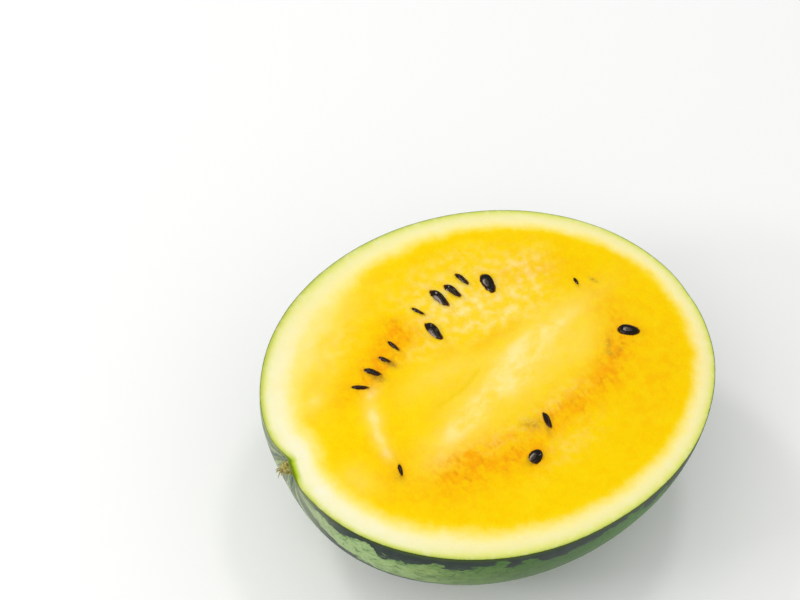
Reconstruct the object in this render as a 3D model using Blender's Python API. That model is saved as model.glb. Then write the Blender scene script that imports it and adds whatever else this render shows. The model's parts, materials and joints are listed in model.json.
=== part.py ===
"""Half of a small yellow-fleshed watermelon, cut lengthwise and lying on its rounded rind.

Frame: +X runs from the stem end to the blossom end, +Z is up and square to the cut face,
and the origin is the middle of the small flat spot on which the half rests. Metres.
"""

from math import cos, exp, pi, radians, sin

import bmesh
import bpy
from mathutils import Euler, Matrix, Vector

# Overall shape. The melon is turned about the X axis, and the cut runs along that axis.
HALF_LENGTH = 0.105
HALF_WIDTH = 0.089
DEPTH = 0.089
FULLNESS = 2.03  # exponent of the outline: 2 is an ellipse, and more is squarer
TAPER = 0.01  # how much slimmer the blossom end is than the stem end
REST_SHAVE = 0.001  # height taken off the round bottom by the flat spot
FACE_HEIGHT = DEPTH - REST_SHAVE

# Stem end: a broad flat part with a small dimple in it, round the stem. The cut passes just above
# the stem, so all of the stem stays on this half.
FLAT_DEPTH = 0.0022
FLAT_BELOW_FACE = 0.022
FLAT_RADIUS = 0.026
STEM_BELOW_FACE = 0.0055
DIMPLE_DEPTH = 0.004
DIMPLE_RADIUS = 0.009
STEM_ROOT_RADIUS = 0.0032
STEM_TIP_RADIUS = 0.0024
STEM_STICKS_OUT = 0.0075
STEM_ROOT_DEPTH = 0.0018
STEM_LIFT = 0.0012  # how far the dried tip curls up
STEM_RINGS = 8
STEM_SIDES = 12
STEM_CLEARANCE = 0.0003

# A full seed, flat and egg-shaped, with its pointed end towards +X before it is placed.
SEED_LENGTH = 0.0098
SEED_WIDTH = 0.0060
SEED_THICKNESS = 0.0024
SEED_POINT = 0.22  # share of the width lost towards the pointed end
SEED_CLEARANCE = 0.0003
SEED_RINGS = 8
SEED_SIDES = 14

# Mesh of the rind, with its rings crowded round the stem.
RINGS = 40
RING_CROWDING = 1.45
HALF_TURN_STEPS = 30

# One row per seed: x and y on the cut face and its centre's height over it, in millimetres, then its
# heading, pitch and roll in degrees, and its size as a share of a full seed. Heading 0 points the
# seed at +X. A pitch lowers the pointed end, and a roll stands the seed on its edge.
SEEDS = (
    (24.0, 44.0, 0.0, -93, 2, 20, 1.08),
    (14.0, 51.0, -1.1, -71, 0, 50, 0.93),
    (7.0, 47.0, -0.8, -68, 4, 42, 1.02),
    (-0.5, 46.0, -0.9, -74, 3, 44, 1.22),
    (-12.5, 44.0, -1.6, -58, 0, 68, 0.87),
    (-11.5, 31.5, -0.4, -77, 3, 40, 1.12),
    (-31.5, 32.5, -1.8, -70, 0, 74, 0.92),
    (-38.5, 27.0, -1.8, -56, 6, 60, 0.92),
    (-46.5, 23.5, -1.2, -50, 6, 46, 0.98),
    (-55.0, 19.5, -1.8, -28, 0, 76, 0.97),
    (10.5, -31.5, -1.2, -99, 6, 60, 0.98),
    (-4.5, -45.5, -0.5, 200, 20, 8, 1.06),
    (-60.0, -25.5, -1.7, -107, 6, 74, 0.86),
    (69.0, -6.0, 0.2, -32, 0, 12, 0.98),
    (61.0, 27.0, -1.2, -100, 22, 66, 0.60),
)

FLESH_COLOUR = (0.98, 0.64, 0.01, 1.0)
SEED_COLOUR = (0.012, 0.008, 0.007, 1.0)
STEM_COLOUR = (0.42, 0.30, 0.12, 1.0)


def clear_scene():
    for obj in list(bpy.data.objects):
        bpy.data.objects.remove(obj, do_unlink=True)


def make_material(name, colour, roughness):
    material = bpy.data.materials.new(name)
    material.use_nodes = True
    shader = material.node_tree.nodes["Principled BSDF"]
    shader.inputs["Base Color"].default_value = colour
    shader.inputs["Roughness"].default_value = roughness
    shader.inputs["Metallic"].default_value = 0.0
    return material


def add_object(name, mesh_builder, material=None):
    """Makes an object of what a bmesh holds, with its faces pointing out. Only caps have over four corners."""
    bmesh.ops.recalc_face_normals(mesh_builder, faces=mesh_builder.faces[:])
    mesh = bpy.data.meshes.new(name)
    mesh_builder.to_mesh(mesh)
    mesh_builder.free()
    mesh.shade_smooth()
    mesh.set_sharp_from_angle(angle=radians(35))
    for face in mesh.polygons:
        face.use_smooth = len(face.vertices) <= 4
    obj = bpy.data.objects.new(name, mesh)
    if material:
        mesh.materials.append(material)
    bpy.context.scene.collection.objects.link(obj)
    return obj


def skin_through_rings(builder, rings, wrap):
    """Joins each ring of vertices to the next with quads. wrap also joins a ring's end to its start."""
    for near, far in zip(rings, rings[1:]):
        last = len(near) if wrap else len(near) - 1
        for i in range(last):
            j = (i + 1) % len(near)
            builder.faces.new((near[i], near[j], far[j], far[i]))


def close_with_tip(builder, ring, tip, wrap):
    last = len(ring) if wrap else len(ring) - 1
    for i in range(last):
        builder.faces.new((ring[i], ring[(i + 1) % len(ring)], tip))


def outline_radius(x):
    """Distance of the melon's skin from its axis, at a place along the axis."""
    along = x / HALF_LENGTH
    round_part = max(0.0, 1.0 - abs(along) ** FULLNESS) ** (1.0 / FULLNESS)
    return HALF_WIDTH * round_part * (1.0 - TAPER * along)


def stem_end_push(y, below_face):
    """How far the skin at the stem end is drawn in, by the flat part and by the dimple."""
    from_flat = Vector((y, below_face - FLAT_BELOW_FACE)).length
    from_stem = Vector((y, below_face - STEM_BELOW_FACE)).length
    flat = FLAT_DEPTH * exp(-((from_flat / FLAT_RADIUS) ** 2))
    return flat + DIMPLE_DEPTH * exp(-((from_stem / DIMPLE_RADIUS) ** 2))


def rind_point(along, turn):
    """A point of the skin: along runs from 0 at the stem end to pi, and turn from 0 at one rim to pi."""
    x = -HALF_LENGTH * cos(along)
    radius = outline_radius(x)
    y = radius * cos(turn)
    below_face = radius * sin(turn) * DEPTH / HALF_WIDTH
    if x < 0.0:
        x += stem_end_push(y, below_face)
    return Vector((x, y, FACE_HEIGHT - below_face))


def cap_open_edges(builder, height):
    """Fills the flat hole whose edges all lie at this height."""
    edges = [
        edge
        for edge in builder.edges
        if edge.is_boundary and all(abs(v.co.z - height) < 1e-6 for v in edge.verts)
    ]
    bmesh.ops.contextual_create(builder, geom=edges)


def make_melon_half(material):
    builder = bmesh.new()
    rings = []
    for i in range(1, RINGS):
        along = pi * (i / RINGS) ** RING_CROWDING
        turns = [pi * j / HALF_TURN_STEPS for j in range(HALF_TURN_STEPS + 1)]
        rings.append([builder.verts.new(rind_point(along, turn)) for turn in turns])
    skin_through_rings(builder, rings, wrap=False)
    close_with_tip(builder, rings[0], builder.verts.new(rind_point(0.0, 0.0)), wrap=False)
    close_with_tip(builder, rings[-1], builder.verts.new(rind_point(pi, 0.0)), wrap=False)
    everything = builder.verts[:] + builder.edges[:] + builder.faces[:]
    bmesh.ops.bisect_plane(
        builder, geom=everything, plane_co=(0, 0, 0), plane_no=(0, 0, -1), clear_outer=True
    )
    cap_open_edges(builder, 0.0)
    cap_open_edges(builder, FACE_HEIGHT)
    return add_object("melon_half", builder, material)


def seed_mesh(size, margin):
    """An egg-shaped, flattened seed, with this margin added all round."""
    builder = bmesh.new()
    length = SEED_LENGTH * size / 2 + margin
    width = SEED_WIDTH * size / 2 + margin
    thickness = SEED_THICKNESS * size / 2 + margin
    rings = []
    for i in range(1, SEED_RINGS):
        along = pi * i / SEED_RINGS
        narrowing = 1.0 + SEED_POINT * cos(along) - SEED_POINT / 3
        ring = []
        for j in range(SEED_SIDES):
            turn = 2 * pi * j / SEED_SIDES
            ring.append(
                builder.verts.new(
                    (
                        -length * cos(along),
                        width * sin(along) * cos(turn) * narrowing,
                        thickness * sin(along) * sin(turn),
                    )
                )
            )
        rings.append(ring)
    skin_through_rings(builder, rings, wrap=True)
    close_with_tip(builder, rings[0], builder.verts.new((-length, 0, 0)), wrap=True)
    close_with_tip(builder, rings[-1], builder.verts.new((length, 0, 0)), wrap=True)
    return builder


def seed_place(x_mm, y_mm, height_mm, heading, pitch, roll):
    """Where a seed lies, turned first about its length, then nose down, then to its heading."""
    turned = Euler((radians(roll), radians(pitch), radians(heading)), "XYZ")
    centre = Vector((x_mm / 1000, y_mm / 1000, FACE_HEIGHT + height_mm / 1000))
    return Matrix.Translation(centre) @ turned.to_matrix().to_4x4()


def stem_mesh(margin):
    """The dried stub: a bent, tapering stalk with its root sunk in the rind, and a margin all round."""
    builder = bmesh.new()
    start = -STEM_ROOT_DEPTH - margin
    end = STEM_STICKS_OUT + margin
    rings = []
    for i in range(STEM_RINGS):
        share = i / (STEM_RINGS - 1)
        out = start + (end - start) * share
        radius = STEM_ROOT_RADIUS + (STEM_TIP_RADIUS - STEM_ROOT_RADIUS) * share + margin
        lift = STEM_LIFT * share**2
        ring = []
        for j in range(STEM_SIDES):
            turn = 2 * pi * j / STEM_SIDES
            ring.append(builder.verts.new((-out, radius * cos(turn), lift + radius * sin(turn))))
        rings.append(ring)
    skin_through_rings(builder, rings, wrap=True)
    for ring in (rings[0], rings[-1]):
        builder.faces.new(ring)
    return builder


def stem_place():
    """The stem grows from the bottom of the dimple."""
    root = -HALF_LENGTH + stem_end_push(0.0, STEM_BELOW_FACE)
    return Matrix.Translation((root, 0.0, FACE_HEIGHT - STEM_BELOW_FACE))


def cut(body, cutter):
    """Takes the cutter's shape out of the body."""
    cutter.hide_render = True
    cutter.display_type = "WIRE"
    boolean = body.modifiers.new("cut_" + cutter.name, "BOOLEAN")
    boolean.operation = "DIFFERENCE"
    boolean.object = cutter


def add_seed(number, row, body, material):
    """A seed and the pocket that it sits in."""
    *place, size = row
    seed = add_object(f"seed_{number:02d}", seed_mesh(size, 0.0), material)
    pocket = add_object(f"pocket_{number:02d}", seed_mesh(size, SEED_CLEARANCE))
    seed.matrix_world = pocket.matrix_world = seed_place(*place)
    cut(body, pocket)


def add_stem(body, material):
    stem = add_object("stem", stem_mesh(0.0), material)
    socket = add_object("stem_socket", stem_mesh(STEM_CLEARANCE))
    stem.matrix_world = socket.matrix_world = stem_place()
    cut(body, socket)


def main():
    clear_scene()
    flesh = make_material("flesh", FLESH_COLOUR, 0.35)
    seed_coat = make_material("seed_coat", SEED_COLOUR, 0.25)
    dried_stem = make_material("dried_stem", STEM_COLOUR, 0.75)
    body = make_melon_half(flesh)
    add_stem(body, dried_stem)
    for number, row in enumerate(SEEDS, start=1):
        add_seed(number, row, body, seed_coat)


main()
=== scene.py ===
"""Looks of the half watermelon: a fine mesh for each CAD piece, the materials, the light and the camera.

Everything is in metres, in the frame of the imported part: +X runs from the stem end to the blossom end,
+Z is up, and the cut face looks up. Tables that say so are in millimetres.
"""

import json
import random
from math import cos, pi, radians, sin
from types import SimpleNamespace

import bmesh
import bpy
import numpy as np
from mathutils import Matrix, Vector, noise
from mathutils.kdtree import KDTree

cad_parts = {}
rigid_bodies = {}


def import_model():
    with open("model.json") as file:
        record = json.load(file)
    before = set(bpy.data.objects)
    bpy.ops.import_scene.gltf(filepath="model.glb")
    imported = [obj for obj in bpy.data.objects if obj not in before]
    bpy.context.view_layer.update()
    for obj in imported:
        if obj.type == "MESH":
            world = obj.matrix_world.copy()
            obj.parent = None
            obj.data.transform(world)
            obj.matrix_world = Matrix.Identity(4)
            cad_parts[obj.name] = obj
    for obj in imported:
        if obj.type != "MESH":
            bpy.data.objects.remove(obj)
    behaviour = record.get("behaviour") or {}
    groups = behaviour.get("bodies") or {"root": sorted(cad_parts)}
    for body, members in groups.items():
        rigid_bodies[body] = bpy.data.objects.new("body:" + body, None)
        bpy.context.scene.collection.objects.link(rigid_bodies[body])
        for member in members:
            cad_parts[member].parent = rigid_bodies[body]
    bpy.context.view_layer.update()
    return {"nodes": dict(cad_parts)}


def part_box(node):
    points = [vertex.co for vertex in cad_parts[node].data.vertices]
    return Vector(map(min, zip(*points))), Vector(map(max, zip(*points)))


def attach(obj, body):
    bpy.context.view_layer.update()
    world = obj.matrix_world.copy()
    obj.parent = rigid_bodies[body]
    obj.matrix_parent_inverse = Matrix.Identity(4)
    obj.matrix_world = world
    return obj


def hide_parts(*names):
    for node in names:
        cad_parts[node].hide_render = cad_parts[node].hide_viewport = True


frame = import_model()

MM = 0.001

# The melon's shape, as in the CAD. Its sizes are read from the frame.
FULLNESS = 2.03  # exponent of the outline: 2 is an ellipse, and more is squarer
TAPER = 0.01  # how much slimmer the blossom end is than the stem end
REST_SHAVE = 0.001
FLAT_DEPTH = 0.0022
FLAT_BELOW_FACE = 0.022
FLAT_RADIUS = 0.026
STEM_BELOW_FACE = 0.0055
DIMPLE_DEPTH = 0.004
DIMPLE_RADIUS = 0.009
SCAR_BELOW_FACE = 0.004  # where the flower sat, at the blossom end
SCAR_DEPTH = 0.0006
SCAR_RADIUS = 0.004
melon_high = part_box("melon_half")[1]
HALF_LENGTH = melon_high.x
HALF_WIDTH = melon_high.y
FACE_HEIGHT = melon_high.z
DEPTH = FACE_HEIGHT + REST_SHAVE

# Relief of the skin. Each row of waves has a height, a width and the seed of its noise.
SKIN_WAVES = (
    (0.00035, 0.045, 0.0),
    (0.00012, 0.014, 2.0),
)
PLEATS = 9  # shallow folds round the dimple
PLEAT_HEIGHT = 0.0006
PLEAT_REACH = 0.014
STEM_END_X = -0.09  # the skin's faces nearer the stem than this may lie in the dimple
STEM_END_RADIUS = 0.03

# Fineness of the meshes: the cut face and the skin are each a square grid of this many cells.
MELON_CELLS = 190
SEED_CELLS = 26
RIM_ROUNDING = 0.00015
SEED_POCKET_GAP = 0.00012
FINE_ROUND_SEEDS = 2.2  # the flesh's grid is twice as fine out to this many times a seed's size

# Cut face, in millimetres. Each row is an oval with soft edges: x, y, half its length, half its
# width, its heading in degrees and its strength.
ORANGE_SPOTS = (
    (-16, -39, 21, 11, -8, 0.85),
    (-38, -37, 14, 11, 0, 0.65),
    (-4, -45, 9, 6, 0, 0.55),
    (-28, -32, 2.5, 4, 0, 0.5),
    (-8, -31, 5, 2, 20, 0.5),
    (16, -31, 15, 8, 5, 0.6),
    (36, -27, 17, 9, 20, 0.65),
    (53, -18, 13, 8, 36, 0.7),
    (64, -8, 9, 8, 30, 0.55),
    (68, 3, 10, 9, 0, 0.4),
    (66, 14, 10, 10, 0, 0.25),
    (74, -28, 22, 16, 60, 0.25),
    (56, -42, 26, 9, 40, 0.25),
    (85, 6, 8, 30, 0, 0.12),
    (-62, 18, 11, 5, 10, 0.35),
    (-48, 24, 13, 8, 30, 0.8),
    (-34, 33, 12, 8, 35, 0.75),
    (-26, 42, 5, 5, 0, 0.8),
    (-21, 34, 8, 6, 0, 0.5),
    (-62, -24, 9, 14, 0, 0.4),
    (58, 38, 20, 10, -45, 0.3),
    (36, 44, 14, 6, -20, 0.25),
    (-50, -46, 24, 9, -35, 0.2),
    (12, 18, 16, 3.5, 5, 0.25),
    (-12, 21, 7, 4, 0, 0.2),
)
PALE_SPOTS = (
    (14, 2, 21, 10, 28, 0.75),
    (-24, -17, 22, 7.5, 24, 0.8),
    (44, 13, 24, 6.5, 14, 0.7),
    (-18, 10, 20, 8, 6, 0.45),
    (8, -9, 36, 12, 9, 0.4),
    (44, -1, 16, 9, 12, 0.35),
    (-52, 15, 5, 3.2, 35, 0.8),
    (-57, 4, 7, 3.8, 72, 0.9),
    (-60, -8, 7, 3.0, 84, 0.85),
    (-61, -16, 4, 2.8, 90, 0.65),
    (-42, -29, 8, 4, 10, 0.4),
    (-72, 40, 26, 11, 55, 0.6),
    (-50, 58, 22, 9, 28, 0.5),
    (-78, -22, 9, 7, -60, 0.45),
    (-76, 22, 6, 4, 20, 0.4),
)
GRAINY_SPOTS = (
    (10, 31, 17, 8, 0, 1.0),
    (8, 43, 15, 7, 0, 0.75),
    (-9, 38, 9, 9, 0, 0.5),
    (28, 35, 14, 9, 20, 0.5),
    (45, 40, 12, 8, 50, 0.85),
    (0, 53, 20, 6, 0, 0.5),
    (34, 51, 14, 6, -20, 0.6),
    (-20, 25, 12, 5, 0, 0.35),
    (30, 23, 18, 5, 0, 0.35),
    (10, 63, 24, 5, 0, 0.3),
    (-58, 45, 14, 9, 30, 0.4),
    (14, -46, 16, 6, 20, 0.3),
    (-14, -30, 20, 5, 0, 0.4),
    (22, -24, 22, 4, 12, 0.4),
)
# Seeds just under the cut, which show through as dull marks.
SMUDGES = (
    (4, -30, 4.5, 3, -25, 0.6),
    (57, -8, 3.2, 1.3, 65, 0.6),
    (55, -13, 2.6, 1.2, -50, 0.5),
    (60, -13, 2.0, 1.0, 50, 0.4),
    (69, 25, 2.4, 0.9, -60, 0.7),
    (-62, -28, 2, 3, 10, 0.3),
    (9, -36, 1.2, 3, -10, 0.4),
    (-45.5, 20.8, 3.2, 1.9, -50, 0.9),
    (-36.8, 25.0, 3.0, 1.7, -56, 0.9),
    (9.0, 44.2, 2.6, 1.2, -68, 0.5),
)
CREASE = ((-3, 5), (-10, 1.2), (-16, -1.2), (-28, -3.8))
CREASE_DEPTH = 0.2
CREASE_WIDTH = 1.1

# Relief of the cut face, in millimetres. Each row of waves has a height, a width, octaves and a seed.
FACE_WAVES = (
    (0.10, 17.0, 1, 0.0),
    (0.045, 3.2, 3, 1.0),
)
TEAR_WIDTH = 1.6
LIP_HEIGHT = 0.2  # of the flesh pushed up round each seed
LIP_TEAR = 0.35  # how much higher or lower the lip is where it is torn
MOAT_DEPTH = 0.12  # of the hollow round the lip

# How a seed shows through the flesh: the depths looked at and the depth that fades it, in millimetres.
BURIED_DEPTHS = (0.2, 0.5, 0.9, 1.4, 2.0)
BURIED_FADE = 0.9

# Pale band under the skin, in millimetres, where it grows from the rim inwards.
BAND_WIDTH = 15.5
BAND_GROWTH = 3.5  # wider by this much at the stem end, and slimmer at the blossom end
BAND_BULGE = 6.0
BAND_BULGE_ANGLE = 140.0
BAND_BULGE_SPREAD = 26.0
BAND_COLOURS = (
    (0.00, "#a2b243"),
    (0.04, "#bfca62"),
    (0.08, "#d6dc74"),
    (0.13, "#e2e480"),
    (0.19, "#ebe893"),
    (0.29, "#f3eca6"),
    (0.40, "#f8eeaa"),
    (0.52, "#fbee9e"),
    (0.65, "#fde982"),
    (0.77, "#fde156"),
    (0.90, "#fbd818"),
    (1.00, "#fbd302"),
)

# Skin. Angles run from the rim on the -Y side, 0, round the bottom to the other rim, 180.
# Each stripe has its middle and how far it reaches to each side, before its edges are bent.
DARK_STRIPES = ((0, 15), (38, 18), (71, 14), (101, 15), (133, 16), (162, 13))
# Light green between the stripes, from the stem end to the blossom end. The darker olive from a quarter
# to halfway along is partly the skin's own colour and partly painted shade.
SKIN_LIGHT = (
    (0.00, "#a9bd84"),
    (0.08, "#9eba78"),
    (0.17, "#839f58"),
    (0.25, "#60803a"),
    (0.36, "#486b2a"),
    (0.47, "#406828"),
    (0.65, "#43791f"),
    (0.88, "#43831b"),
    (1.00, "#5c8a3c"),
)


# Seeds. The outline is a circle, slimmer towards its point, and the rim has a groove inside it.
SEED_POINT = 0.22
SEED_SLIMMING = 0.073
SEED_WIDEN = 1.05  # brings the slimmed outline back to the seed's full width
GROOVE_DEPTH = 0.14
GROOVE_AT = 0.80
GROOVE_WIDTH = 0.07

# Stem: a ridged stub with torn fibres at its end.
STEM_RINGS = 40
STEM_SIDES = 56
STEM_ROOT_RADIUS = 0.0032
STEM_NECK_LOSS = 0.0006  # thinner by this much past the root
STEM_END_LOSS = 0.0007  # and by this much more at the torn end
STUB_SHARE = 0.3  # where the stub ends, from the tip of the stem
STUB_RISE = 0.0008
STUB_SWAY = 0.0004
FIBRES = 7
FIBRE_RINGS = 24
FIBRE_SIDES = 10
FIBRE_OVERLAP = 0.0012  # how far inside the stub each fibre starts
FIBRE_CURL_UP = 0.0008
FIBRE_CURL_ASIDE = 0.0010

# Light. A radiance of 1 all round makes white paper come out just white.
WORLD_RADIANCE = 0.59
KEY_RADIANCE = 1.75
WINDOW_RADIANCE = 20.0
# Each lamp has a name, a place, a width, a height and a radiance, and looks at the cut face.
LAMPS = (
    ("key_softbox", (-1.3, -0.5, 2.5), 2.0, 1.6, KEY_RADIANCE),
    ("window_behind", (-0.48, 0.76, 1.30), 0.22, 0.22, WINDOW_RADIANCE),
    ("window_above", (0.26, 0.21, 1.56), 0.18, 0.18, WINDOW_RADIANCE),
    ("window_left", (-1.70, 0.10, 1.20), 0.45, 0.22, WINDOW_RADIANCE),
)
FLOOR_HALF_SIDE = 15.0

# Camera, with its axes and its place over the middle of the cut face.
CAMERA_RIGHT = (0.8732, -0.4805, 0.0812)
CAMERA_UP = (0.3547, 0.7409, 0.5704)
CAMERA_BACK = (-0.3342, -0.4693, 0.8174)
CAMERA_PLACE = (-0.40863, -0.49716, 0.95908)
CAMERA_LENS = 117.0
CAMERA_SENSOR = 36.0


# ---------------------------------------------------------------- meshes


def disc_grid(cells):
    """A square grid bent into a unit disc: each point's share of the radius and angle, and the quads."""
    steps = np.linspace(-1.0, 1.0, cells + 1)
    a, b = [grid.ravel() for grid in np.meshgrid(steps, steps, indexing="ij")]
    wide = np.abs(a) >= np.abs(b)
    larger = np.where(wide, a, b)
    smaller = np.where(wide, b, a)
    turn = pi / 4 * smaller / np.where(larger == 0.0, 1.0, larger)
    angle = np.where(wide, turn, pi / 2 - turn)
    angle = np.where(larger < 0.0, angle + pi, angle)
    index = np.arange((cells + 1) ** 2).reshape(cells + 1, cells + 1)
    quads = [index[:-1, :-1], index[1:, :-1], index[1:, 1:], index[:-1, 1:]]
    return np.abs(larger), angle, np.stack([q.ravel() for q in quads], axis=1), index


def closed_shell(name, cells, top, bottom):
    """A closed mesh of two bent discs and the narrow strip that joins their edges.

    top and bottom each take the shares and angles of a disc's points and return the points.
    """
    share, angle, quads, index = disc_grid(cells)
    points = np.concatenate([top(share, angle), bottom(share, angle)])
    loop = np.concatenate([index[:-1, 0], index[-1, :-1], index[:0:-1, -1], index[0, :0:-1]])
    after = np.roll(loop, -1)
    below = len(share)
    strip = np.stack([loop + below, after + below, after, loop], axis=1)
    faces = np.concatenate([quads, quads[:, ::-1] + below, strip])
    mesh = bpy.data.meshes.new(name)
    mesh.from_pydata(points.tolist(), [], faces.tolist())
    mesh.update()
    return mesh


def add_piece(name, mesh, material_list, replaced):
    """Shows a mesh as a piece of the part, in place of the CAD node that it stands for."""
    mesh.materials.clear()
    for material in material_list:
        mesh.materials.append(material)
    piece = bpy.data.objects.new(name, mesh)
    bpy.context.scene.collection.objects.link(piece)
    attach(piece, "root")
    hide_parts(replaced)


def smooth(mesh, sharp_angle):
    mesh.shade_smooth()
    mesh.set_sharp_from_angle(angle=radians(sharp_angle))


def coordinates(mesh):
    flat = np.empty(len(mesh.vertices) * 3, np.float32)
    mesh.vertices.foreach_get("co", flat)
    return flat.reshape(-1, 3).astype(float)


def set_attribute(mesh, name, values):
    attribute = mesh.attributes.new(name, "FLOAT", "POINT")
    attribute.data.foreach_set("value", values.astype(np.float32))


def noise_at(points, size, octaves=1, seed=0.0):
    """Noise from -1 to 1 at each point. size is the width of its lumps, in the points' own unit."""
    shift = Vector((seed * 7.3, seed * 3.1, seed * 5.7))
    scaled = points / size
    if octaves == 1:
        return np.array([noise.noise(Vector(p) + shift) for p in scaled])
    return np.array([noise.fractal(Vector(p) + shift, 0.8, 2.0, octaves) for p in scaled])


def smoothstep(value, low, high):
    share = np.clip((value - low) / (high - low), 0.0, 1.0)
    return share * share * (3.0 - 2.0 * share)


# ---------------------------------------------------------------- melon


def reach(points):
    """How far each point's ray from the middle of the cut has to be stretched to reach the skin."""
    stretch = np.ones(len(points))
    for _ in range(5):
        along = points[:, 0] * stretch / HALF_LENGTH
        radius = np.hypot(points[:, 1], points[:, 2] * HALF_WIDTH / DEPTH) * stretch
        round_part = radius / (HALF_WIDTH * (1.0 - TAPER * along))
        level = np.abs(along) ** FULLNESS + np.abs(round_part) ** FULLNESS
        stretch /= level ** (1.0 / FULLNESS)
    return stretch


def stem_end_push(points):
    """How far the flat, the dimple and its pleats push each point in at the stem end."""
    away = np.hypot(points[:, 1], points[:, 2] + STEM_BELOW_FACE)
    from_flat = np.hypot(points[:, 1], points[:, 2] + FLAT_BELOW_FACE)
    push = FLAT_DEPTH * np.exp(-((from_flat / FLAT_RADIUS) ** 2))
    push += DIMPLE_DEPTH * np.exp(-((away / DIMPLE_RADIUS) ** 2))
    folds = np.sin(PLEATS * np.arctan2(points[:, 1], points[:, 2]))
    pleats = PLEAT_HEIGHT * np.exp(-((away / PLEAT_REACH) ** 2)) * folds
    return push + pleats * smoothstep(away, 0.002, 0.008)


def skin_points(angle, dip):
    """Points of the skin. angle goes round in plan and dip is the angle below the face."""
    rays = np.stack(
        [
            HALF_LENGTH * np.cos(angle) * np.cos(dip),
            HALF_WIDTH * np.sin(angle) * np.cos(dip),
            -DEPTH * np.sin(dip),
        ],
        axis=1,
    )
    points = rays * reach(rays)[:, None]
    uneven = sum(height * noise_at(points, width, seed=seed) for height, width, seed in SKIN_WAVES)
    points *= 1.0 + (uneven / np.linalg.norm(points, axis=1))[:, None]
    points[:, 0] += np.where(points[:, 0] < 0.0, stem_end_push(points), 0.0)
    from_scar = np.hypot(points[:, 1], points[:, 2] + SCAR_BELOW_FACE)
    scar = SCAR_DEPTH * np.exp(-((from_scar / SCAR_RADIUS) ** 2))
    points[:, 0] -= np.where(points[:, 0] > 0.0, scar, 0.0)
    points[:, 2] += FACE_HEIGHT
    return points


def skin_side(share, angle):
    dip = (1.0 - share) * pi / 2
    points = skin_points(angle, dip)
    points[:, 2] = np.maximum(points[:, 2] - RIM_ROUNDING * share**8, 0.0)
    return points


def crease_distance(x, y):
    """Distance from each point to the crease in the middle of the flesh, in millimetres."""
    nearest = np.full(len(x), 1e9)
    for (x0, y0), (x1, y1) in zip(CREASE, CREASE[1:]):
        dx, dy = x1 - x0, y1 - y0
        along = np.clip(((x - x0) * dx + (y - y0) * dy) / (dx * dx + dy * dy), 0.0, 1.0)
        nearest = np.minimum(nearest, np.hypot(x - x0 - along * dx, y - y0 - along * dy))
    return nearest


class SeedPlace:
    """Where a CAD seed lies: its middle, its axes of length, width and thickness, and its half sizes."""

    def __init__(self, node):
        points = coordinates(frame["nodes"][node].data)
        start = (points.min(axis=0) + points.max(axis=0)) / 2
        axes = np.linalg.svd(points - points.mean(axis=0), full_matrices=False)[2]
        if np.linalg.det(axes) < 0:
            axes[2] *= -1
        local = (points - start) @ axes.T
        middle = (local.min(axis=0) + local.max(axis=0)) / 2
        self.middle = start + middle @ axes
        local -= middle
        if (local[:, 0] * np.abs(local[:, 1])).sum() > 0:
            axes[:2] *= -1  # the pointed end is towards +length
        if axes[2, 2] < 0:
            axes[1:] *= -1  # the upper side looks up
        self.axes = axes
        self.half = (local.max(axis=0) - local.min(axis=0)) / 2

    def buried(self, points):
        """How strongly the buried part of the seed shows through at each point of the face: 0 to 1.

        It looks down a few short steps below each point for the seed's ellipsoid.
        """
        shown = np.zeros(len(points))
        for depth in BURIED_DEPTHS:
            level = self.level(points - np.array([0.0, 0.0, depth * MM]))
            shown = np.maximum(shown, smoothstep(-level, -1.12, -0.9) * np.exp(-depth / BURIED_FADE))
        return shown

    def level(self, points):
        """Under 1 inside the seed's ellipsoid, 1 on it, and more outside."""
        local = (points - self.middle) @ self.axes.T / self.half
        return np.linalg.norm(local, axis=1)


def face_side(share, angle):
    """Points of the cut face, still quite flat."""
    rim = skin_points(angle, np.zeros(len(angle)))
    inset = 1.0 - RIM_ROUNDING / np.linalg.norm(rim[:, :2], axis=1)
    points = rim * (share * inset)[:, None]
    points[:, 2] = FACE_HEIGHT
    return points


def refine_round_seeds(mesh, seeds):
    """Halves the flesh's grid near each seed."""
    builder = bmesh.new()
    builder.from_mesh(mesh)
    builder.faces.ensure_lookup_table()
    centres = np.array([face.calc_center_median() for face in builder.faces])
    near = np.zeros(len(centres), bool)
    for seed in seeds:
        near |= seed.level(centres) < FINE_ROUND_SEEDS
    near &= centres[:, 2] > FACE_HEIGHT - 1e-6
    edges = {edge for i in np.flatnonzero(near) for edge in builder.faces[i].edges}
    bmesh.ops.subdivide_edges(builder, edges=list(edges), cuts=1, use_grid_fill=True)
    builder.to_mesh(mesh)
    builder.free()


def relieve_face(mesh, seeds):
    """Gives the flat cut the soft waves, grains, crease and raised lips of real flesh."""
    points = coordinates(mesh)
    on_face = points[:, 2] > FACE_HEIGHT - 1e-6
    face = points[on_face]
    x, y = face[:, 0] / MM, face[:, 1] / MM
    flat = np.stack([x, y, np.zeros(len(x))], axis=1)
    torn = noise_at(flat, TEAR_WIDTH, seed=4.0)
    height = sum(high * noise_at(flat, width, octaves, seed) for high, width, octaves, seed in FACE_WAVES)
    height -= CREASE_DEPTH * np.exp(-((crease_distance(x, y) / CREASE_WIDTH) ** 2))
    for seed in seeds:
        level = seed.level(face)
        height += (LIP_HEIGHT + LIP_TEAR * torn) * np.exp(-(((level - 1.1) / 0.3) ** 2))
        height -= MOAT_DEPTH * np.exp(-(((level - 1.8) / 0.4) ** 2))
    face[:, 2] += height * MM * smoothstep(rim_distance(face), 0.0, 4.0)
    points[on_face] = face
    mesh.vertices.foreach_set("co", points.ravel().astype(np.float32))
    mesh.update()


def band_width(x, y):
    """Width of the pale band on the way to each point, in millimetres."""
    angle = np.arctan2(y, x)
    from_bulge = np.degrees(np.abs(np.angle(np.exp(1j * (angle - radians(BAND_BULGE_ANGLE))))))
    bulge = BAND_BULGE * np.exp(-((from_bulge / BAND_BULGE_SPREAD) ** 2))
    return BAND_WIDTH - BAND_GROWTH * np.cos(angle) + bulge


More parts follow.
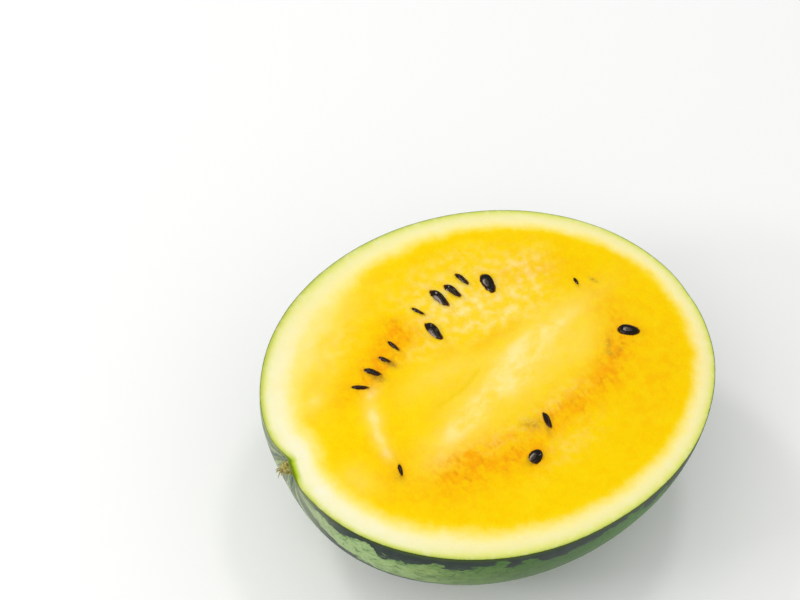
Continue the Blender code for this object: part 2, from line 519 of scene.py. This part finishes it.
def rim_distance(points):
    """Distance in plan from each point to the rim, in millimetres."""
    rim = skin_points(np.linspace(0.0, 2 * pi, 2400, endpoint=False), np.zeros(2400))
    tree = KDTree(len(rim))
    for i, (x, y, _) in enumerate(rim):
        tree.insert((x, y, 0.0), i)
    tree.balance()
    return np.array([tree.find((x, y, 0.0))[2] for x, y, _ in points]) / MM


def spots(x, y, rows):
    """Sum of soft ovals at each point, at most 1."""
    total = np.zeros(len(x))
    for centre_x, centre_y, length, width, heading, strength in rows:
        turn = radians(heading)
        along = ((x - centre_x) * cos(turn) + (y - centre_y) * sin(turn)) / length
        across = ((y - centre_y) * cos(turn) - (x - centre_x) * sin(turn)) / width
        total += strength * np.exp(-(along**2 + across**2))
    return np.minimum(total, 1.0)


def paint_melon(mesh, seeds):
    """Stores on the mesh what the flesh's material needs to know about each place."""
    points = coordinates(mesh)
    x, y = points[:, 0] / MM, points[:, 1] / MM
    on_face = points[:, 2] > FACE_HEIGHT - 0.004
    rim = np.zeros(len(points))
    rim[on_face] = rim_distance(points[on_face])
    near_seed = np.zeros(len(points))
    buried = np.zeros(len(points))
    for seed in seeds:
        near_seed = np.maximum(near_seed, np.exp(-np.maximum(seed.level(points) - 1.0, 0.0) / 0.5))
        buried = np.maximum(buried, seed.buried(points))
    set_attribute(mesh, "rim_mm", rim)
    set_attribute(mesh, "rim_share", rim / band_width(x, y))
    set_attribute(mesh, "orange", spots(x, y, ORANGE_SPOTS))
    set_attribute(mesh, "pale", spots(x, y, PALE_SPOTS))
    set_attribute(mesh, "grainy", spots(x, y, GRAINY_SPOTS))
    set_attribute(mesh, "smudge", spots(x, y, SMUDGES))
    set_attribute(mesh, "cream", smoothstep(-x, 40.0, 95.0))
    set_attribute(mesh, "crease", np.exp(-((crease_distance(x, y) / CREASE_WIDTH) ** 2)))
    set_attribute(mesh, "near_seed", near_seed)
    set_attribute(mesh, "buried", buried)


def cut_away(mesh, cutters):
    """The mesh with the cutters' shapes taken out of it."""
    body = bpy.data.objects.new("uncut", mesh)
    bpy.context.scene.collection.objects.link(body)
    joined = bpy.data.collections.new("cutters")
    bpy.context.scene.collection.children.link(joined)
    for number, cutter in enumerate(cutters):
        joined.objects.link(bpy.data.objects.new(f"cutter_{number}", cutter))
    boolean = body.modifiers.new("pockets", "BOOLEAN")
    boolean.operation = "DIFFERENCE"
    boolean.operand_type = "COLLECTION"
    boolean.collection = joined
    boolean.solver = "MANIFOLD"
    result = bpy.data.meshes.new_from_object(body.evaluated_get(bpy.context.evaluated_depsgraph_get()))
    for obj in list(joined.objects) + [body]:
        bpy.data.objects.remove(obj)
    bpy.data.collections.remove(joined)
    return result


def mark_skin(mesh):
    """Gives the skin's faces the second material: those that lie on the outer surface, below the rim."""
    centres = np.empty(len(mesh.polygons) * 3, np.float32)
    mesh.polygons.foreach_get("center", centres)
    normals = np.empty(len(mesh.polygons) * 3, np.float32)
    mesh.polygons.foreach_get("normal", normals)
    centres, normals = centres.reshape(-1, 3), normals.reshape(-1, 3)
    outward = centres - np.array([0.0, 0.0, FACE_HEIGHT])
    stretch = reach(outward.astype(float))
    from_axis = np.hypot(centres[:, 1], outward[:, 2])
    in_dimple = (centres[:, 0] < STEM_END_X) & (from_axis < STEM_END_RADIUS)
    outside = (stretch < 1.04) | (in_dimple & (normals[:, 0] < -0.3))
    skin = outside & (centres[:, 2] < FACE_HEIGHT - 1e-6) & (normals[:, 2] < 0.9)
    mesh.polygons.foreach_set("material_index", skin.astype(np.int32))


def make_melon(seeds, materials):
    mesh = closed_shell("melon", MELON_CELLS, face_side, skin_side)
    refine_round_seeds(mesh, seeds)
    relieve_face(mesh, seeds)
    cutters = [seed_mesh(seed, SEED_POCKET_GAP) for seed in seeds]
    mesh = cut_away(mesh, cutters)
    mesh.name = "melon"
    paint_melon(mesh, seeds)
    add_piece("melon", mesh, materials, "melon_half")
    mark_skin(mesh)
    smooth(mesh, 40)


# ---------------------------------------------------------------- seeds


def seed_mesh(place, margin):
    """A flat, pointed seed with a shallow groove inside its rim, and a margin added all round."""
    half_length, half_width, half_thickness = place.half + margin

    def side(sign):
        def points_of(share, angle):
            along = np.cos(angle)
            across = SEED_WIDEN * np.sin(angle) * (1.0 - SEED_POINT * along - SEED_SLIMMING)
            groove = GROOVE_DEPTH * np.exp(-(((share - GROOVE_AT) / GROOVE_WIDTH) ** 2))
            dome = np.sqrt(np.maximum(1.0 - 0.97 * share**4.2, 0.0)) * (1.0 - groove)
            local = np.stack(
                [
                    half_length * share * along,
                    half_width * share * across,
                    sign * half_thickness * dome,
                ],
                axis=1,
            )
            return place.middle + local @ place.axes

        return points_of

    return closed_shell("seed", SEED_CELLS, side(1.0), side(-1.0))


def make_seed(node, place, material):
    mesh = seed_mesh(place, 0.0)
    mesh.name = node
    share = disc_grid(SEED_CELLS)[0]
    set_attribute(mesh, "margin", np.concatenate([share, share]))
    smooth(mesh, 70)
    add_piece(node + "_fine", mesh, [material], node)


# ---------------------------------------------------------------- stem


def tube(name, centres, radius_of, sides):
    """A closed tube through the centres. radius_of gives the radius at a ring's number and an angle."""
    centres = [Vector(c) for c in centres]
    points, faces = [], []
    side = Vector((0.0, 1.0, 0.0))
    for i, centre in enumerate(centres):
        ahead = centres[min(i + 1, len(centres) - 1)] - centres[max(i - 1, 0)]
        ahead.normalize()
        side = (side - ahead * side.dot(ahead)).normalized()
        up = ahead.cross(side)
        for j in range(sides):
            turn = 2 * pi * j / sides
            points.append(centre + (side * cos(turn) + up * sin(turn)) * radius_of(i, turn))
    for i in range(len(centres) - 1):
        for j in range(sides):
            k = (j + 1) % sides
            faces.append((i * sides + j, i * sides + k, (i + 1) * sides + k, (i + 1) * sides + j))
    for ring, order in ((0, -1), (len(centres) - 1, 1)):
        points.append(centres[ring])
        tip = len(points) - 1
        for j in range(sides):
            pair = (ring * sides + j, ring * sides + (j + 1) % sides)
            faces.append((*pair[::order], tip))
    mesh = bpy.data.meshes.new(name)
    mesh.from_pydata([tuple(p) for p in points], [], faces)
    mesh.update()
    return mesh


def stem_radius(ring, turn):
    """A knobbly root that thins to a torn tip, with ridges running along it."""
    share = ring / (STEM_RINGS - 1)
    radius = STEM_ROOT_RADIUS - STEM_NECK_LOSS * smoothstep(share, 0.25, 0.55)
    radius -= STEM_END_LOSS * smoothstep(share, 0.6, 0.95)
    ridges = 0.14 * sin(5 * turn + 2.5 * share) + 0.08 * sin(11 * turn - 3.0 * share)
    lumps = 0.30 * noise.noise(Vector((share * 6.0, cos(turn) * 1.5, sin(turn) * 1.5)))
    closing = 1.0 - 0.6 * smoothstep(share, 0.9, 1.0)
    return radius * (1.0 + ridges + lumps) * closing


def join_meshes(name, meshes):
    builder = bmesh.new()
    for mesh in meshes:
        builder.from_mesh(mesh)
        bpy.data.meshes.remove(mesh)
    joined = bpy.data.meshes.new(name)
    builder.to_mesh(joined)
    builder.free()
    return joined


def make_stem(material):
    low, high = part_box("stem")
    middle_y = (low.y + high.y) / 2
    root_z = FACE_HEIGHT - STEM_BELOW_FACE
    stub_end = low.x + STUB_SHARE * (high.x - low.x)
    centres = []
    for i in range(STEM_RINGS):
        share = i / (STEM_RINGS - 1)
        x = high.x + (stub_end - high.x) * share
        centres.append((x, middle_y + STUB_SWAY * sin(3 * share), root_z + STUB_RISE * share**2))
    stub = tube("stem", centres, stem_radius, STEM_SIDES)
    smooth(stub, 60)
    add_piece("stem_stub", stub, [material], "stem")
    each = [fibre_mesh(number, stub_end, middle_y, root_z, low.x) for number in range(FIBRES)]
    fibres = join_meshes("stem_fibres", each)
    smooth(fibres, 60)
    add_piece("stem_fibres", fibres, [material], "stem")


def fibre_mesh(number, stub_end, middle_y, root_z, tip_x):
    """One torn fibre: it leaves the stub's end, spreads from its neighbours and curls up."""
    chance = random.Random(number)
    turn = 2 * pi * number / FIBRES + chance.uniform(-0.3, 0.3)
    reach_out = (stub_end - tip_x) * chance.uniform(0.5, 1.05)
    curl = chance.uniform(1.0, 3.2)
    radius = chance.uniform(0.0003, 0.00055)
    centres = []
    for i in range(FIBRE_RINGS):
        share = i / (FIBRE_RINGS - 1)
        spread = 0.0007 + 0.0011 * share**1.5
        bend = curl * share**2
        centres.append(
            (
                stub_end + FIBRE_OVERLAP - (reach_out + FIBRE_OVERLAP) * share,
                middle_y + spread * cos(turn) - FIBRE_CURL_ASIDE * (1 - cos(bend)),
                root_z + STUB_RISE + spread * sin(turn) + FIBRE_CURL_UP * sin(bend) * share,
            )
        )

    def radius_of(ring, _):
        return radius * (1.0 - 0.75 * ring / (FIBRE_RINGS - 1))

    return tube("fibre", centres, radius_of, FIBRE_SIDES)


# ---------------------------------------------------------------- materials


def linear(colour):
    """Linear red, green, blue and alpha of a colour written as #rrggbb."""
    values = [int(colour[i : i + 2], 16) / 255 for i in (1, 3, 5)]
    return (*[v / 12.92 if v <= 0.04045 else ((v + 0.055) / 1.055) ** 2.4 for v in values], 1.0)


class Shader:
    """A material's node tree, with a short call for each kind of node that is used here."""

    def __init__(self, name):
        self.material = bpy.data.materials.new(name)
        self.material.use_nodes = True
        self.tree = self.material.node_tree
        self.principled = self.tree.nodes["Principled BSDF"]

    def node(self, kind, inputs, **settings):
        """Adds a node. Each input is a socket to link from, a colour written as #rrggbb, or a value."""
        made = self.tree.nodes.new(kind)
        for key, value in settings.items():
            setattr(made, key, value)
        for key, value in inputs.items():
            self.feed(made.inputs[key], value)
        return made

    def feed(self, socket, value):
        if isinstance(value, bpy.types.NodeSocket):
            self.tree.links.new(value, socket)
        elif isinstance(value, str):
            socket.default_value = linear(value)
        else:
            socket.default_value = value

    def surface(self, **inputs):
        """Sets the shader's own sockets, named with _ for a space."""
        for key, value in inputs.items():
            self.feed(self.principled.inputs[key.replace("_", " ")], value)
        return self.material

    def millimetres(self):
        place = self.node("ShaderNodeTexCoord", {}).outputs["Object"]
        return self.vector("SCALE", place, scale=1000.0)

    def vector(self, operation, a, b=(0.0, 0.0, 0.0), scale=1.0):
        inputs = {0: a, "Scale": scale} if operation == "SCALE" else {0: a, 1: b}
        return self.node("ShaderNodeVectorMath", inputs, operation=operation).outputs[0]

    def split(self, vector):
        return self.node("ShaderNodeSeparateXYZ", {0: vector}).outputs

    def length(self, a, b):
        return self.math("SQRT", self.add(self.times(a, a), self.times(b, b)))

    def attribute(self, name):
        return self.node("ShaderNodeAttribute", {}, attribute_name=name).outputs["Fac"]

    def math(self, operation, *values):
        return self.node("ShaderNodeMath", dict(enumerate(values)), operation=operation).outputs[0]

    def add(self, a, b):
        return self.math("ADD", a, b)

    def times(self, a, b):
        return self.math("MULTIPLY", a, b)

    def step(self, value, low, high, top=1.0):
        """0 below low, top above high, and smooth between. It falls instead if low is over high."""
        ends = {0: value, 1: min(low, high), 2: max(low, high)}
        ends.update({3: 0.0, 4: top} if low < high else {3: top, 4: 0.0})
        return self.node("ShaderNodeMapRange", ends, interpolation_type="SMOOTHSTEP").outputs[0]

    def noise(self, place, size, detail=2.0, roughness=0.5):
        """Noise from 0 to 1. size is the width of its lumps in millimetres."""
        inputs = {"Vector": place, "Scale": 1.0 / size, "Detail": detail, "Roughness": roughness}
        return self.node("ShaderNodeTexNoise", inputs).outputs[0]

    def cells(self, place, size, feature="F1", output="Distance", smoothness=None):
        inputs = {"Vector": place, "Scale": 1.0 / size}
        if smoothness is not None:
            inputs["Smoothness"] = smoothness
        return self.node("ShaderNodeTexVoronoi", inputs, feature=feature).outputs[output]

    def mix(self, share, a, b):
        made = self.node("ShaderNodeMix", {}, data_type="RGBA")
        for index, value in ((0, share), (6, a), (7, b)):
            self.feed(made.inputs[index], value)
        return made.outputs[2]

    def ramp(self, value, stops):
        made = self.node("ShaderNodeValToRGB", {0: value})
        ramp = made.color_ramp
        for number, (place, colour) in enumerate(stops):
            if number < 2:
                stop = ramp.elements[number]
                stop.position = place
            else:
                stop = ramp.elements.new(place)
            stop.color = linear(colour)
        return made.outputs[0]

    def bump(self, height, distance, strength):
        inputs = {"Height": height, "Distance": distance, "Strength": strength}
        return self.node("ShaderNodeBump", inputs).outputs[0]


def flesh_noises(s, place):
    """The noises that the flesh's colours share, from broad lumps to fine grain."""
    turned = s.node(
        "ShaderNodeVectorRotate",
        {"Vector": place, "Angle": radians(-24)},
        rotation_type="Z_AXIS",
    ).outputs[0]
    return SimpleNamespace(
        broad=s.noise(place, 13.0),
        middle=s.noise(place, 4.5, detail=4.0, roughness=0.6),
        fine=s.noise(place, 1.3, detail=3.0, roughness=0.65),
        clouds=s.noise(place, 7.0, detail=2.0),
        grains=s.noise(place, 4.2, detail=2.0, roughness=0.45),
        veils=s.noise(s.vector("MULTIPLY", turned, (0.55, 1.0, 1.0)), 7.0, detail=3.0),
        streaky=s.noise(s.vector("MULTIPLY", place, (1.0, 0.6, 1.0)), 2.6, detail=3.0, roughness=0.5),
    )


def band_colour(s, noises, share):
    """The pale band under the skin, which fades into the yellow flesh."""
    colour = s.ramp(share, BAND_COLOURS)
    cream = s.times(s.attribute("cream"), s.add(0.15, s.times(noises.clouds, 0.6)))
    in_band = s.times(s.step(share, 0.04, 0.20), s.step(share, 0.66, 0.36))
    colour = s.mix(s.times(cream, in_band), colour, "#fbf8ea")
    speckle = s.times(s.step(noises.grains, 0.45, 0.75), s.step(share, 0.8, 0.3))
    return s.mix(s.times(speckle, 0.3), colour, "#f6f2c4")


def pale_flesh(s, noises, share, colour):
    """The ripe flesh with its deeper, lighter, grainy and pale places."""
    ripe = s.step(share, 0.75, 1.15)
    deep = s.times(s.times(s.step(noises.middle, 0.42, 0.62), ripe), 0.45)
    colour = s.mix(deep, colour, "#fac800")
    light = s.times(s.times(s.step(noises.clouds, 0.46, 0.68), ripe), 0.35)
    colour = s.mix(light, colour, "#fbdb10")
    grainy = s.attribute("grainy")
    colour = s.mix(s.times(grainy, 0.35), colour, "#fcdc4c")
    clumps = s.step(s.add(s.times(noises.grains, 0.75), s.times(noises.clouds, 0.25)), 0.38, 0.72)
    colour = s.mix(s.times(s.times(grainy, clumps), 0.8), colour, "#feeaa0")
    drift = s.add(s.times(noises.veils, 0.65), s.times(noises.middle, 0.35))
    pale = s.attribute("pale")
    veil = s.times(pale, s.add(0.45, s.times(s.step(drift, 0.32, 0.62), 0.5)))
    colour = s.mix(veil, colour, "#fee26c")
    bright = s.times(s.step(pale, 0.5, 0.95), s.step(drift, 0.36, 0.66))
    return s.mix(s.times(bright, 0.75), colour, "#feeb9c")


def orange_flesh(s, noises, colour):
    """The orange places with darker specks in them, and the crease."""
    streaks = s.step(s.add(s.times(noises.middle, 0.6), s.times(noises.streaky, 0.4)), 0.38, 0.62)
    orange = s.times(s.attribute("orange"), s.add(0.5, s.times(streaks, 0.6)))
    colour = s.mix(s.math("MINIMUM", orange, 1.0), colour, "#f8aa08")
    specks = s.times(s.step(s.attribute("orange"), 0.35, 0.85), s.step(noises.streaky, 0.52, 0.74))
    colour = s.mix(s.times(specks, 0.35), colour, "#cc820e")
    return s.mix(s.times(s.attribute("crease"), 0.6), colour, "#f2cc0c")


def seed_marks(s, fine, colour):
    """The orange tint round the seeds, a dark ring close round each (partly brown flesh and partly
    painted shade of the gap round the seed), and the dull marks of what lies just under the cut.
    """
    near_seed = s.attribute("near_seed")
    colour = s.mix(s.times(near_seed, 0.3), colour, "#e09410")
    smudge = s.times(s.attribute("smudge"), s.add(0.3, s.times(s.step(fine, 0.35, 0.6), 0.7)))
    colour = s.mix(smudge, colour, "#98752c")
    buried = s.times(s.attribute("buried"), s.add(0.55, s.times(fine, 0.6)))
    colour = s.mix(buried, colour, "#4a2a08")
    # Dark ring close round each seed: partly brown flesh, partly painted shade in the gap between seed
    # and flesh.
    ring_stain_and_shade = s.step(s.add(near_seed, s.times(s.add(fine, -0.5), 0.3)), 0.70, 0.95)
    return s.mix(s.times(ring_stain_and_shade, 0.85), colour, "#5a2c04")


def rim_edge(s, place, fine, colour):
    """The thin green edge of the cut, deeper and brighter beside the stem."""
    x, y, _ = s.split(place)
    rim = s.add(s.attribute("rim_mm"), s.times(s.add(fine, -0.5), 0.5))
    from_stem = s.math("ABSOLUTE", s.add(y, 4.0))
    by_stem = s.times(s.step(from_stem, 10.0, 3.0), s.step(x, -85.0, -92.0))
    green_depth = s.add(0.45, s.times(by_stem, 1.6))
    colour = s.mix(s.times(s.step(rim, 4.5, 1.5), by_stem), colour, "#b4cc24")
    dark_edge = s.step(s.math("DIVIDE", rim, green_depth), 1.1, 0.3)
    return s.mix(s.times(dark_edge, 0.9), colour, "#587414")


def flesh_material():
    s = Shader("flesh_and_rind")
    place = s.millimetres()
    noises = flesh_noises(s, place)
    fine = noises.fine
    share = s.attribute("rim_share")
    wobble = s.add(s.times(s.add(noises.broad, -0.5), 0.35), s.times(s.add(noises.middle, -0.5), 0.20))
    share = s.add(share, s.times(wobble, s.step(share, 0.15, 0.7)))
    colour = band_colour(s, noises, share)
    colour = pale_flesh(s, noises, share, colour)
    colour = orange_flesh(s, noises, colour)
    colour = seed_marks(s, fine, colour)
    colour = rim_edge(s, place, fine, colour)
    bumps = s.add(s.times(s.cells(place, 1.1), 0.6), s.times(fine, 0.8))
    return s.surface(
        Base_Color=colour,
        Roughness=s.add(0.30, s.times(fine, 0.22)),
        Normal=s.bump(bumps, 0.00022, 0.45),
        Specular_IOR_Level=0.10,
        Specular_Tint=(1.0, 0.8, 0.15, 1.0),
        Subsurface_Weight=0.12,
        Subsurface_Radius=(1.0, 0.6, 0.15),
        Subsurface_Scale=0.0025,
    )


def stripe_stops():
    """Stops round the skin: white in the middle of each dark stripe, falling to black at its reach."""
    stops = []
    for centre, reach_out in DARK_STRIPES:
        for offset, colour in ((-reach_out, "#000000"), (0, "#ffffff"), (reach_out, "#000000")):
            if 0 <= centre + offset <= 180:
                stops.append(((centre + offset) / 180.0, colour))
    return stops


def stripe_angle(s, place, stretched, radius, calm):
    """Angle round the skin, bent so that the stripes wander and have lobed edges."""
    lobes = s.cells(stretched, 8.0, "SMOOTH_F1", "Position", 0.3)
    small_lobes = s.cells(stretched, 2.8, "SMOOTH_F1", "Position", 0.25)
    shift = s.vector("SCALE", s.vector("SUBTRACT", lobes, stretched), scale=0.6)
    small_shift = s.vector("SCALE", s.vector("SUBTRACT", small_lobes, stretched), scale=0.7)
    shift = s.vector("SCALE", s.vector("ADD", shift, small_shift), scale=calm)
    _, lobed_y, lobed_z = s.split(s.vector("ADD", place, shift))
    angle = s.math("ARCTAN2", lobed_y, s.math("SUBTRACT", FACE_HEIGHT / MM, lobed_z))
    bend = s.times(s.add(s.noise(stretched, 26.0), -0.5), 24.0)
    return s.add(angle, s.math("DIVIDE", s.times(bend, calm), s.math("MAXIMUM", radius, 15.0)))


def light_skin(s, stretched, x, dark, fine, middle):
    """Mid green, paler at the stem end, with flecks, veins and darker edges beside the stripes."""
    share = s.math("DIVIDE", s.add(x, HALF_LENGTH / MM), 2 * HALF_LENGTH / MM)
    # The ramp's darker olive stops, a quarter to halfway along, are partly painted shade.
    light = s.ramp(s.add(share, s.times(s.add(middle, -0.5), 0.25)), SKIN_LIGHT)
    light = s.mix(s.times(s.step(fine, 0.5, 0.68), 0.35), light, "#3a741a")
    light = s.mix(s.times(s.step(dark, 0.34, 0.58), 0.35), light, "#37701e")
    tangle = s.node("ShaderNodeTexNoise", {"Vector": stretched, "Scale": 0.3}).outputs[1]
    warped = s.vector("ADD", stretched, s.vector("SCALE", tangle, scale=3.0))
    vein = s.step(s.cells(warped, 5.2, "DISTANCE_TO_EDGE"), 0.07, 0.015)
    vein = s.times(vein, s.step(middle, 0.46, 0.6))
    return s.mix(s.times(vein, 0.7), light, "#24501c")


def dark_skin(s, fine, middle):
    shade = s.mix(s.step(middle, 0.4, 0.7), "#1a2a22", "#263830")
    return s.mix(s.times(s.step(fine, 0.55, 0.75), 0.35), shade, "#3c4f45")


def stem_end_rays(s, x, radius, angle, colour):
    """Pale rays round the stem end, which the stripes fade into."""
    spokes = s.node("ShaderNodeCombineXYZ", {0: s.times(angle, 7.0), 1: s.times(radius, 0.03)}).outputs[0]
    lines = s.noise(spokes, 1.0, detail=3.0)
    pole = s.times(s.step(radius, 44.0, 16.0), s.step(x, -60.0, -90.0))
    pale = s.mix(s.step(lines, 0.50, 0.62), "#a9b28c", "#5d7062")
    return s.mix(s.times(pole, s.add(0.45, s.times(s.step(lines, 0.44, 0.6), 0.4))), colour, pale)


def scar_colours(s, x, y, z, fine, colour):
    """The corky scar of the flower, with a pale ring round it."""
    below_scar = s.math("SUBTRACT", (FACE_HEIGHT - SCAR_BELOW_FACE) / MM, z)
    from_scar = s.add(s.length(y, below_scar), s.step(x, 50.0, 10.0, 30.0))
    colour = s.mix(s.times(s.step(from_scar, 7.0, 3.0), 0.8), colour, "#a9b27e")
    return s.mix(s.step(s.add(from_scar, s.times(fine, 1.5)), 3.4, 2.4), colour, "#7d5c30")


def skin_material():
    s = Shader("striped_skin")
    place = s.millimetres()
    stretched = s.vector("MULTIPLY", place, (0.72, 1.0, 1.0))
    x, y, z = s.split(place)
    radius = s.length(y, s.math("SUBTRACT", FACE_HEIGHT / MM, z))
    calm = s.math("MAXIMUM", s.math("MINIMUM", s.times(radius, 1 / 45.0), 1.0), 0.1)
    angle = stripe_angle(s, place, stretched, radius, calm)
    stripe = s.ramp(s.add(s.times(angle, 1.0 / pi), 0.5), stripe_stops())
    ragged = s.noise(stretched, 11.0, detail=3.0)
    dark = s.add(stripe, s.times(s.times(s.add(ragged, -0.5), 0.85), calm))
    dark = s.add(dark, s.step(x, -35.0, -80.0, 0.16))
    dark_mask = s.step(dark, 0.56, 0.63)

    fine = s.noise(stretched, 1.4, detail=3.0, roughness=0.7)
    middle = s.noise(stretched, 5.0, detail=3.0)
    light = light_skin(s, stretched, x, dark, fine, middle)
    colour = s.mix(dark_mask, light, dark_skin(s, fine, middle))
    colour = stem_end_rays(s, x, radius, angle, colour)
    colour = scar_colours(s, x, y, z, fine, colour)
    below_rim = s.add(s.math("SUBTRACT", FACE_HEIGHT / MM, z), s.times(s.add(fine, -0.5), 0.8))
    rim_line = s.times(s.step(below_rim, 2.8, 1.2), s.add(0.4, s.step(x, -95.0, -70.0, 0.5)))
    colour = s.mix(rim_line, colour, "#33450a")
    bumps = s.add(s.noise(place, 0.8, detail=2.0), s.times(dark_mask, 0.4))
    return s.surface(
        Base_Color=colour,
        Roughness=s.add(0.30, s.times(fine, 0.18)),
        Normal=s.bump(bumps, 0.0001, 0.3),
        Specular_IOR_Level=0.12,
    )


def seed_material():
    s = Shader("seed_coat")
    place = s.millimetres()
    _, _, z = s.split(place)
    fine = s.noise(place, 0.7, detail=4.0, roughness=0.6)
    colour = s.ramp(fine, ((0.3, "#060303"), (0.6, "#0e0706"), (0.8, "#1c0f0a")))
    colour = s.mix(s.times(s.step(s.attribute("margin"), 0.78, 0.96), 0.8), colour, "#2a1205")
    wet_line = s.step(s.add(z, s.times(fine, 0.3)), FACE_HEIGHT / MM + 1.0, FACE_HEIGHT / MM + 0.1)
    colour = s.mix(s.times(wet_line, 0.8), colour, "#3c1503")
    normal = s.bump(fine, 0.00005, 0.2)
    return s.surface(
        Base_Color=colour,
        Roughness=s.add(0.09, s.times(fine, 0.08)),
        Normal=normal,
        Specular_IOR_Level=0.24,
        Specular_Tint=(1.0, 0.88, 0.74, 1.0),
    )


def stem_material():
    s = Shader("dried_stem")
    place = s.millimetres()
    along = s.vector("MULTIPLY", place, (0.25, 1.6, 1.6))
    grain = s.noise(along, 0.7, detail=5.0, roughness=0.65)
    patches = s.noise(place, 1.8, detail=2.0)
    colour = s.ramp(grain, ((0.30, "#54491e"), (0.46, "#a39650"), (0.60, "#c6bb7c"), (0.80, "#e6dfba")))
    colour = s.mix(s.times(s.step(patches, 0.5, 0.65), 0.6), colour, "#a09a34")
    normal = s.bump(grain, 0.0004, 0.7)
    return s.surface(Base_Color=colour, Roughness=s.add(0.6, s.times(grain, 0.3)), Normal=normal)


def floor_material():
    s = Shader("pale_floor")
    place = s.millimetres()
    colour = s.mix(s.noise(place, 300.0), "#fcfcfb", "#fefefd")
    return s.surface(Base_Color=colour, Roughness=0.9, Specular_IOR_Level=0.1)


# ---------------------------------------------------------------- floor, light and camera


def make_floor():
    mesh = bpy.data.meshes.new("floor")
    edge = FLOOR_HALF_SIDE
    corners = [(-edge, -edge, 0), (edge, -edge, 0), (edge, edge, 0), (-edge, edge, 0)]
    mesh.from_pydata(corners, [], [(0, 1, 2, 3)])
    mesh.materials.append(floor_material())
    floor = bpy.data.objects.new("floor", mesh)
    bpy.context.scene.collection.objects.link(floor)


def add_softbox(name, location, width, height, radiance):
    """A rectangular lamp that faces the cut face. Its energy follows from its radiance and area."""
    lamp = bpy.data.lights.new(name, "AREA")
    lamp.shape = "RECTANGLE"
    lamp.size = width
    lamp.size_y = height
    lamp.energy = radiance * pi * width * height
    softbox = bpy.data.objects.new(name, lamp)
    softbox.location = location
    aim = Vector((0.0, 0.0, FACE_HEIGHT)) - softbox.location
    softbox.rotation_euler = aim.to_track_quat("-Z", "Y").to_euler()
    bpy.context.scene.collection.objects.link(softbox)


def make_world():
    """A pale room all round."""
    world = bpy.data.worlds.new("studio")
    bpy.context.scene.world = world
    world.use_nodes = True
    world.node_tree.nodes["Background"].inputs["Color"].default_value = (WORLD_RADIANCE,) * 3 + (1.0,)


def make_light():
    make_world()
    for lamp in LAMPS:
        add_softbox(*lamp)


def make_camera():
    """The camera, about 55 degrees above the table and to the right of the stem end."""
    data = bpy.data.cameras.new("camera")
    data.lens = CAMERA_LENS
    data.sensor_width = CAMERA_SENSOR
    camera = bpy.data.objects.new("camera", data)
    turned = Matrix((CAMERA_RIGHT, CAMERA_UP, CAMERA_BACK)).transposed().to_4x4()
    x, y, z = CAMERA_PLACE
    camera.matrix_world = Matrix.Translation((x, y, z + FACE_HEIGHT)) @ turned
    bpy.context.scene.collection.objects.link(camera)
    bpy.context.scene.camera = camera


def main():
    bpy.context.scene.view_settings.view_transform = "Standard"
    seed_nodes = sorted(name for name in frame["nodes"] if name.startswith("seed_"))
    places = [SeedPlace(node) for node in seed_nodes]
    make_melon(places, [flesh_material(), skin_material()])
    seed_coat = seed_material()
    for node, place in zip(seed_nodes, places):
        make_seed(node, place, seed_coat)
    make_stem(stem_material())
    make_floor()
    make_light()
    make_camera()


main()
